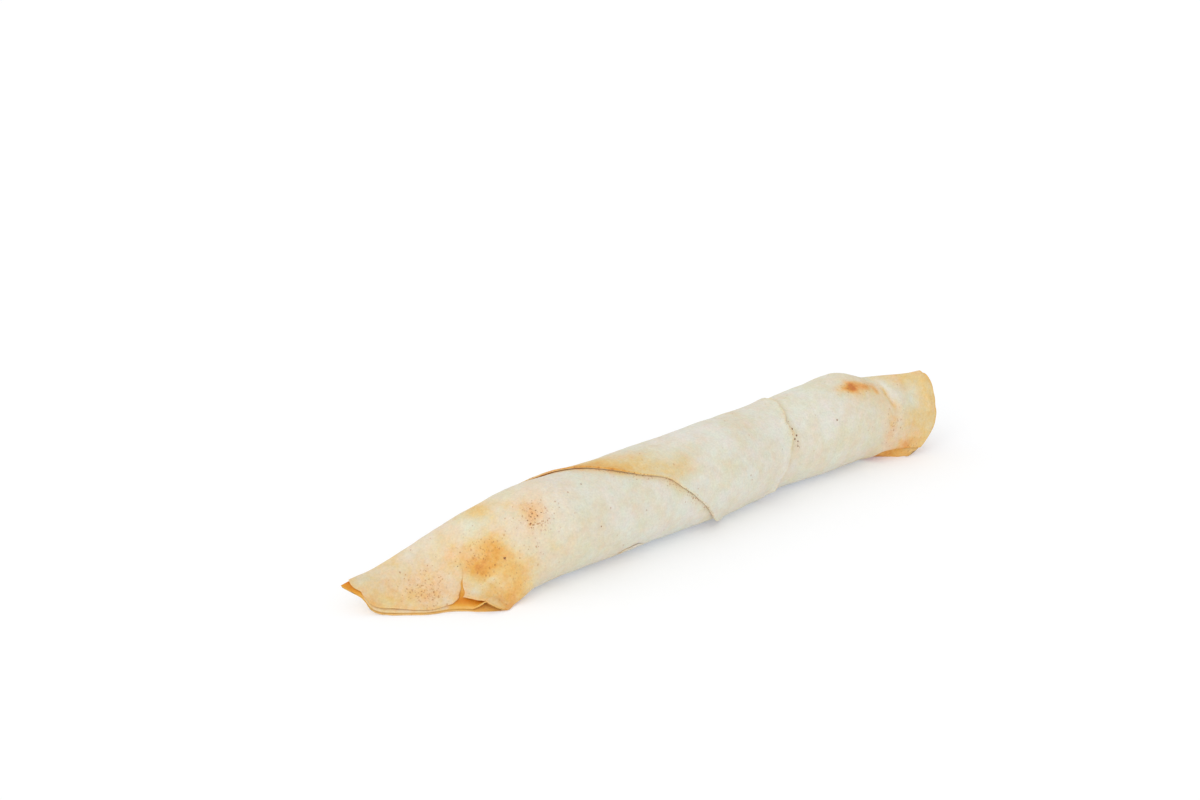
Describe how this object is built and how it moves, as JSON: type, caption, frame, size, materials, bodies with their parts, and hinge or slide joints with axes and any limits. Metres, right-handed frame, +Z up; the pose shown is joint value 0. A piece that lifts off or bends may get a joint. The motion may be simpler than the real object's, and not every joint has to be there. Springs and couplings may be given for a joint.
{
  "type": "fried spring roll",
  "caption": "Whole fried spring roll: a long slim tube of rolled pastry, open and flattened at its wide end, pinched upright at its narrow end.",
  "frame": {"origin": "on the surface the roll lies on, under the middle of its bounding box", "axes": "+X along the roll from its wide open end to its narrow end, +Y to the side away from the pictured side, +Z up"},
  "size_m": [0.1639, 0.0322, 0.0214],
  "materials": {
    "fried_pastry": "pale cream fried pastry, golden to brown at the ends, dry and faintly blistered"
  },
  "bodies": {
    "root": {"spring_roll": "fried_pastry"}
  },
  "joints": []
}
